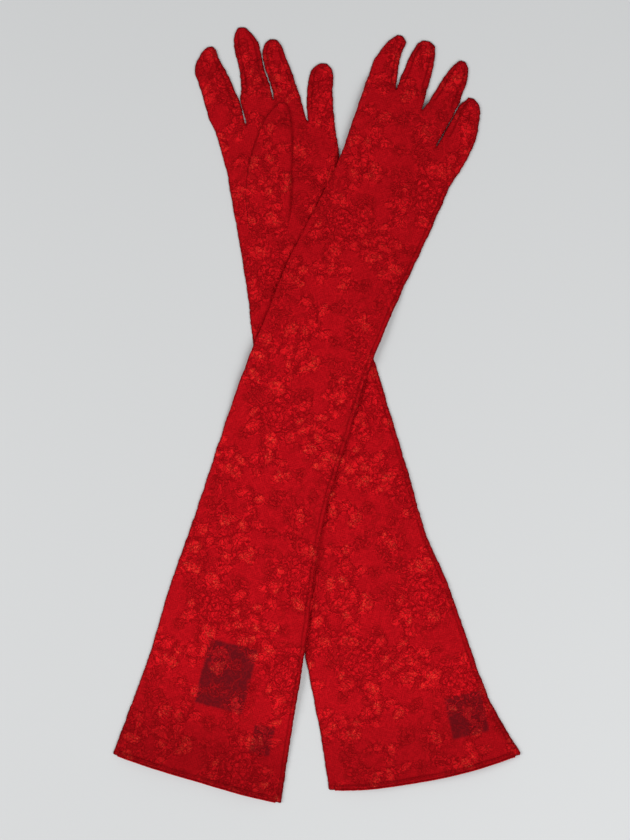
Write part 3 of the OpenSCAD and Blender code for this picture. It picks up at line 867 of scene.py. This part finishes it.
def simulated_folds(cloth):
    """Soft folds of the upper sheet: a cloth slightly too large for its outline, held round the edge."""
    pick = np.s_[::FOLD_EVERY, ::FOLD_EVERY]
    x, y, inside = cloth.x[pick], cloth.y[pick], cloth.inner[pick]
    quads = grid_quads(*x.shape)
    quads = quads[inside.ravel()[quads].all(1)]
    used, faces = np.unique(quads, return_inverse=True)
    start = waves(x, y, FOLD_START).ravel()[used]
    points = np.column_stack([x.ravel()[used], y.ravel()[used], start]) * FOLD_SCALE
    mesh = bpy.data.meshes.new("folds")
    mesh.from_pydata(points.tolist(), [], faces.reshape(-1, 4).tolist())
    sheet = new_object("folds", mesh)
    held = sheet.vertex_groups.new(name="held")
    edge = cloth.edge[pick].ravel()[used]
    held.add(np.flatnonzero(edge < 1.6 * FOLD_EVERY * STEP).tolist(), 1.0, "REPLACE")
    settings = sheet.modifiers.new("cloth", "CLOTH").settings
    for key, value in FOLD_CLOTH.items():
        setattr(settings, key, value)
    settings.vertex_group_mass = "held"
    settings.effector_weights.gravity = 0
    for step in range(1, FOLD_FRAMES + 1):
        bpy.context.scene.frame_set(step)
    settled = sheet.evaluated_get(bpy.context.evaluated_depsgraph_get()).to_mesh()
    end = points_of(settled)
    bpy.data.objects.remove(sheet)
    bpy.data.meshes.remove(mesh)
    bpy.context.scene.frame_set(1)
    rise = np.zeros(x.size)
    rise[used] = end[:, 2] / FOLD_SCALE
    i, j = (np.minimum(k / FOLD_EVERY, n - 1.001) for k, n in zip(np.indices(cloth.x.shape), x.shape))
    full = blur(between(rise.reshape(x.shape), i, j), FOLD_EVERY / 2)
    return FOLD_MOST * np.tanh(full / FOLD_MOST)


def build_glove(side):
    """A glove's cloth, its pieces by the CAD node they stand for, and its lace."""
    upper, lower = f"{side}_{UPPER[side]}", f"{side}_{LOWER[side]}"
    fingers = [f"{side}_{finger}_finger" for finger in FINGERS]
    forks = [f"{side}_{fork}" for fork in FORKS]
    cloth = Cloth([upper, lower, *fingers, *forks], f"{side}_cuff_hem")
    cloth.covers = {node: soft_cover(cloth.fine, 1.0, node) for node in fingers + forks}
    cloth.angle = angle = glove_axis(cloth)
    x, y = (c + waves(cloth.x, cloth.y, STRAY, k) for k, c in enumerate((cloth.x, cloth.y)))
    drawn = [lace_at(x, y, angle, shift) for shift in SHIFTS[side]]

    doubled = soft_cover(cloth.fine, 1.2, f"{side}_side_seam", f"{side}_cuff_hem")[COARSE]
    under = soft_cover(cloth.fine, 1.0, *labels_of(side))[COARSE]
    rim = rim_line(cloth.rim)
    if side == "right":
        # The edge's painted shade is fainter where it lies over the left glove
        left_glove = [node for node in frame["nodes"] if node.startswith("left")]
        rim = rim * (1 - 0.9 * soft_cover(cloth.fine, 6, *left_glove)[COARSE])
    off_edge = smooth((cloth.edge - 1.5) / 1.0)
    fork_lines = np.max([outline_of(cloth.covers[fork][COARSE]) * off_edge for fork in forks], 0)
    # Dark lines: the painted shade along the edge, and the lines along the seam, the hem and the forks
    dark = np.clip(rim + 0.8 * outline_of(doubled) + 0.95 * fork_lines, 0, 1)

    along = x * math.cos(angle) + y * math.sin(angle)
    to_hand = smooth((along - np.percentile(along[cloth.inner], BEFORE_HAND)) / HAND_FADE)
    to_cuff = smooth((along[cloth.inner].min() + CUFF_END - along) / CUFF_FADE)
    dense = HAND_DARKENING * to_hand + CUFF_DARKENING[side] * to_cuff
    over = [
        ("lace", np.concatenate([as_rows(motif, bright * (1 - rim) * (1 - 0.45 * to_hand), line, zone)
                                 for motif, bright, line, zone in drawn])),
        ("sewn", np.concatenate([as_rows(dark, doubled, label, dense) for label in (under, 0)])),
    ]

    relief = relief_of(*drawn[0][:3], cloth.edge)
    sag = (waves(cloth.x, cloth.y, SAG) + simulated_folds(cloth)) * smooth(cloth.edge / SAG_FADE)
    cloth.lower_z = cloth.low_z + cloth.lift_edge()
    cloth.upper_z = np.where(cloth.border & ~cloth.mouth, cloth.lower_z,
                             cloth.low_z + cloth.rounded() + relief + sag)
    points = sheet_points(x + cloth.move_x, y + cloth.move_y, cloth.upper_z, cloth.lower_z)

    lace, fork_lace = lace_material(f"{side}_lace", angle), lace_material(f"{side}_fork_lace", angle, 0.9)
    sets = [(faces, regions(side, cloth, faces)) for faces in (cloth.quads, cloth.tris)]
    panels = [faces[region == 0] for faces, region in sets]
    lower_panels = [faces[:, ::-1] + x.size for faces in panels]
    pieces = {upper: make_piece(f"{upper}_lace", points, *panels, lace, over),
              lower: make_piece(f"{lower}_lace", points, *lower_panels, lace, over)}
    for n in range(len(FINGERS)):
        for first, node, material in ((1, fingers[n], lace), (5, forks[n], fork_lace)):
            own = [faces[region == first + n] for faces, region in sets]
            pieces[node] = make_pouch(f"{node}_lace", points, *own, cloth.border.ravel(), material, over)
    return cloth, pieces, lace


def join_bodies(side, pieces):
    glove = f"{side}_glove"
    for node, piece in pieces.items():
        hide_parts(node)
        finger = next((f for f in FINGERS if f"{side}_{f}_" in node), None)
        if finger is None:
            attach(piece, glove)
        else:
            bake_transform(piece)


def declare(piece):
    """Work out how large the sheet was cut: its extent along its own length, and its area. Nothing is done
    with the result.
    """
    area = sum(p.area for p in piece.data.polygons)
    plan = points_of(piece.data)[:, :2]
    _, axes = np.linalg.eigh(np.cov(plan.T))
    width, length = (plan @ axes).max(0) - (plan @ axes).min(0)
    width = max(width, 1.001 * area / length, SLIMMEST)


def build_thumb(side, hand, material):
    """The set-in thumb: it grows out of the palm along a slanting seam and ends in a free tip."""
    node = f"{side}_thumb"
    cloth = Cloth([node])
    rise, base = 1.0, THUMB_ON_TABLE
    if side == "left":
        palm = hand.coarse.sample(spread(hand.upper_z, hand.inner, 1), cloth.x, cloth.y)
        low, high = (np.array(c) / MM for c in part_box(node))
        slant = THUMB_SEAM * (high[0] - cloth.x) / (high[0] - low[0])
        rise = smooth((cloth.y - low[1] - slant) / THUMB_RISE)
        base = palm + THUMB_ON_PALM + THUMB_FREE * rise
    x, y = (c + waves(cloth.x, cloth.y, STRAY[:1], k) for k, c in enumerate((cloth.x, cloth.y)))
    motif, bright, line, zone = lace_at(x, y, hand.angle, THUMB_SHIFT)
    # The thumb's edge has a fainter line of painted shade
    rim = rim_line(cloth.edge) * 0.5 * rise
    relief = relief_of(motif, bright, line, cloth.edge) * (0.4 + 0.6 * rise)
    lower_z = base + cloth.lift_edge() * rise
    upper_z = np.where(cloth.border, lower_z, base + cloth.rounded() * rise + relief)
    looks = {"lace": as_rows(motif, bright * (1 - rim), line, zone),
             "sewn": as_rows(rim, 0, 0, HAND_DARKENING)}
    over = [(key, np.tile(look, (2, 1))) for key, look in looks.items()]
    middle_x, middle_y = (np.median(c[cloth.inner]) for c in (cloth.x, cloth.y))
    folded = cloth.border & (cloth.x < middle_x + THUMB_LEAN[side] * (cloth.y - middle_y))
    piece = make_pouch(f"{node}_lace", sheet_points(x, y, upper_z, lower_z), cloth.quads, cloth.tris,
                       folded.ravel(), material, over)
    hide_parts(node)
    if side == "left":
        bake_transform(piece)
    else:
        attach(piece, node)
    return piece


def across_of(cloth):
    """Unit vectors across the arm, towards +X, and along it, towards the hand."""
    c, s = math.cos(cloth.angle), math.sin(cloth.angle)
    return np.array([s, -c]), np.array([c, s])


def even_curve(points, spacing):
    """The same polyline at an even spacing."""
    step = np.linalg.norm(np.diff(points, axis=0), axis=1)
    along = np.concatenate([[0], np.cumsum(step)])
    at = np.linspace(0, along[-1], max(2, int(along[-1] / spacing)))
    return np.stack([np.interp(at, along, points[:, k]) for k in range(points.shape[1])], -1)


def ring_quads(rings, count):
    """The quads between rings of points that follow one another, each ring closed."""
    first = np.arange(rings - 1)[:, None] * count
    a, b = first + np.arange(count), first + (np.arange(count) + 1) % count
    return np.stack([a, b, b + count, a + count], -1).reshape(-1, 4)


def sweep(path, section, first, second, size=1.0):
    """Points of a section along a path: its two numbers go in the first and second direction."""
    offset = section[:, :1] * first[:, None] + section[:, 1:] * second[:, None]
    return (path[:, None] + np.reshape(size, (-1, 1, 1)) * offset).reshape(-1, 3)


def tube(path, radius, sides=6):
    """A closed thread along a path, its ends drawn in to a point."""
    ahead = unit(np.gradient(path, axis=0))
    first = unit(np.cross(ahead, NEAR_UP))
    turn = 2 * math.pi * np.arange(sides) / sides
    girth = np.full(len(path), radius)
    girth[[0, -1]] = THREAD_END * radius
    points = sweep(path, np.column_stack([np.cos(turn), np.sin(turn)]), first, np.cross(ahead, first), girth)
    last = (len(path) - 1) * sides
    caps = [[0, k, k + 1] for k in range(1, sides - 1)]
    caps += [[last, last + k + 1, last + k] for k in range(1, sides - 1)]
    return points, ring_quads(len(path), sides)[:, [0, 3, 2, 1]], np.array(caps)


def threads_piece(name, paths, radius, material):
    """Many threads as one piece."""
    points, quads, tris, base = [], [], [], 0
    for path in paths:
        p, q, t = tube(np.asarray(path, float), radius)
        points.append(p)
        quads.append(q + base)
        tris.append(t + base)
        base += len(p)
    return make_piece(name, np.concatenate(points), np.concatenate(quads), np.concatenate(tris), material)


def mouth_curve(cloth):
    """The cuff's edge from side to side, with the way into the cuff at each point."""
    across, along = across_of(cloth)
    x, y = cloth.x[cloth.mouth], cloth.y[cloth.mouth]
    a, b = x * across[0] + y * across[1], x * along[0] + y * along[1]
    strips = np.arange(a.min(), a.max(), CUFF_STRIP)
    height = [b[(a >= strip) & (a < strip + CUFF_STRIP)].mean() for strip in strips[:-1]]
    places = np.linspace(a.min(), a.max(), CUFF_PLACES)
    edge = np.interp(places, 0.5 * (strips[:-1] + strips[1:]), height)
    path = places[:, None] * across + edge[:, None] * along
    tangent = unit(np.gradient(path, axis=0))
    return path, np.stack([-tangent[:, 1], tangent[:, 0], 0 * tangent[:, 0]], -1)


def build_hem(side, cloth, material, thread):
    """The cuff's edge turned in and rolled, and the two rows of stitches that hold it."""
    path, inward = mouth_curve(cloth)
    folds, faces, stitches, base = [], [], [], 0
    for way, field in ((1, cloth.upper_z), (-1, cloth.lower_z)):
        level = box_blur(cloth.height_at(field, 1.2, path[:, 0], path[:, 1]), 9, 0)
        lifted = np.column_stack([path, level if way > 0 else np.maximum(level, CUFF_LEAST)])
        folds.append(sweep(lifted, HEM_SECTION * (1, way), inward, np.array([(0, 0, 1.0)])))
        faces.append(ring_quads(len(path), len(HEM_SECTION))[:, ::-way] + base)
        base += len(folds[-1])
        for inset in STITCH_ROWS:
            # Six places to a stitch: five along its thread, and one in the gap
            row = even_curve(lifted + inset * inward, STITCH / 6)
            for k in range(3, len(row) - 9, 6):
                dash = row[k : k + 5].copy()
                dash[:, 2] += STITCH_ON[way] + STITCH_ARCH * np.sin(math.pi * np.linspace(0, 1, 5))
                stitches.append(dash)
    looks = [(key, np.tile(look, (base, 1))) for key, look in HEM_LACE.items()]
    fold = make_piece(f"{side}_cuff_hem_fold", np.concatenate(folds), np.concatenate(faces), [],
                      material, looks)
    sewn = threads_piece(f"{side}_cuff_hem_stitches", stitches, STITCH_THREAD, thread)
    for piece, slot in ((fold, "lace"), (sewn, "seam_thread")):
        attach(piece, f"{side}_glove")
    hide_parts(f"{side}_cuff_hem")


def build_seam(side, cloth, thread):
    """The overlocked side seam: loops round the turned-in allowance between two straight threads."""
    node = f"{side}_side_seam"
    across, along = across_of(cloth)
    there = covers(cloth.fine, node)
    a, b = ((cloth.fine.X * way[0] + cloth.fine.Y * way[1])[there] for way in (across, along))
    levels = np.arange(b.min() + 2, b.max() - 2, SEAM_EVERY)
    strips = [a[np.abs(b - level) < SEAM_EVERY / 2] for level in levels]
    fine = np.arange(levels[0], levels[-1], SEAM_PITCH / 10)
    inner, outer = (np.interp(fine, levels, box_blur(np.array([end(strip) for strip in strips]), 5, 0))
                    for end in (np.min, np.max))
    centre, half = (inner + outer) / 2, 0.8 * (outer - inner) / 2

    def place(offset, lift):
        """Points beside the seam's middle, lift going from -1 on the lower sheet to 1 on the upper."""
        xy = (centre + offset)[:, None] * across + fine[:, None] * along
        low, high = (cloth.height_at(z, 1, xy[:, 0], xy[:, 1]) for z in (cloth.lower_z, cloth.upper_z))
        return np.column_stack([xy, low + np.maximum(high - low, 0.5) * (0.5 + 0.5 * lift)])

    turn = 2 * math.pi * (fine - fine[0]) / SEAM_PITCH
    loops = place(half * np.cos(turn), 0.45 * np.sin(turn))
    needle, locked = place(-0.55 * half, 0.35)[::5], place(0.95 * half, 0)[::5]
    piece = threads_piece(f"{side}_side_seam_overlock", [loops, needle, locked], SEAM_THREAD, thread)
    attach(piece, f"{side}_glove")
    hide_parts(node)


def build_label(node, material):
    """A woven tape folded once at its free end, slightly curled, its two leaves almost touching."""
    corners = corners_of(node)
    low, high = corners.min(0), corners.max(0)
    flat = corners[:, :2]
    middle = (low[:2] + high[:2]) / 2
    far = flat[np.argmax(np.hypot(*(flat - middle).T))]
    away = np.hypot(*(flat - far).T)
    # From one corner the others lie a width, a length and a diagonal away
    sides = sorted({round(float(distance), 3) for distance in away})
    width, length = sides[1], sides[-2]
    u = (flat[np.argmin(np.abs(away - width))] - far) / width
    v = unit(middle - far - u * width / 2)
    leaf = np.linspace(0, length - LABEL_FOLD, int(length / LABEL_STEP) + 1)
    bend = np.linspace(0, math.pi, 9)[1:-1]
    run = np.concatenate([leaf, leaf[-1] + LABEL_FOLD * np.sin(bend), leaf[::-1]])
    lift = np.concatenate([0 * leaf, LABEL_GAP / 2 * (1 - np.cos(bend)), 0 * leaf + LABEL_GAP])
    A, R = np.meshgrid(np.linspace(0, width, int(width / LABEL_STEP) + 1), run)
    xy = far + A[..., None] * u + R[..., None] * v
    curl = 0.35 * smooth((R / length - 0.55) / 0.45) + 0.12 * np.sin(A / width * math.pi)
    z = low[2] + 0.05 + lift[:, None] + curl + 0.03 * ripple(xy[..., 0], xy[..., 1], 6, 41)
    points = np.concatenate([xy, z[..., None]], -1).reshape(-1, 3)
    piece = make_piece(f"{node}_tape", points, grid_quads(*z.shape), [], material)
    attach(piece, node.split("_")[0] + "_glove")
    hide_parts(node)


def add_camera():
    camera = bpy.data.cameras.new("camera")
    camera.sensor_width = 36
    camera.lens = 70
    rig = new_object("camera", camera)
    rig.location = (VIEW_X, VIEW_Y, VIEW_TALL * camera.lens / camera.sensor_width)
    bpy.context.scene.camera = rig


def add_floor():
    mesh = bpy.data.meshes.new("floor")
    corners = ((-1, -1), (1, -1), (1, 1), (-1, 1))
    mesh.from_pydata([(x * FLOOR_HALF, y * FLOOR_HALF, FLOOR_Z) for x, y in corners], [], [(0, 1, 2, 3)])
    material, tree, coords = new_material("floor")
    x = add(tree, "ShaderNodeSeparateXYZ", {0: coords}).outputs["X"]
    # Painted light: the floor is darker on the left and lighter on the right
    colour = mix_colour(tree, ramp(tree, x, -FLOOR_BLEND, FLOOR_BLEND), FLOOR_SHADED_LEFT, FLOOR_LIT_RIGHT)
    surface(tree, {"Base Color": colour, "Roughness": 0.9, "Specular IOR Level": 0.1})
    mesh.materials.append(material)
    floor = new_object("floor", mesh)


def add_light(name, place, size, power):
    lamp = bpy.data.lights.new(name, "AREA")
    lamp.size = size
    lamp.energy = power
    rig = new_object(name, lamp)
    rig.location = place
    rig.rotation_euler = Vector([-c for c in place]).to_track_quat("-Z", "Y").to_euler()


def add_sky(strength):
    world = bpy.data.worlds.new("studio")
    world.use_nodes = True
    background = world.node_tree.nodes["Background"].inputs
    background["Color"].default_value = (1, 1, 1, 1)
    background["Strength"].default_value = strength
    bpy.context.scene.world = world


add_camera()
add_floor()
add_sky(strength=0.36)
add_light("window", (-1.3, -0.1, 1.0), size=0.8, power=13)
add_light("fill", (0.9, -1.0, 1.4), size=1.6, power=23)
bpy.context.scene.view_settings.view_transform = "Standard"

thread = plain_material("seam_thread", SHADE, scaled(GROUND, 0.7), period=0.8, roughness=0.7)
tape = plain_material("label_tape", LABEL, scaled(LABEL, 2), period=0.5, roughness=0.6)
for side in ("left", "right"):
    cloth, pieces, material = build_glove(side)
    join_bodies(side, pieces)
    upper, lower = pieces.pop(f"{side}_{UPPER[side]}"), pieces.pop(f"{side}_{LOWER[side]}")
    declare(lower)
    declare(upper)
    for piece in pieces.values():
        declare(piece)
    # The left thumb is folded onto the palm, and the right one lies under the hand
    declare(build_thumb(side, cloth, material))
    build_hem(side, cloth, material, thread)
    build_seam(side, cloth, thread)
    for node in labels_of(side):
        build_label(node, tape)
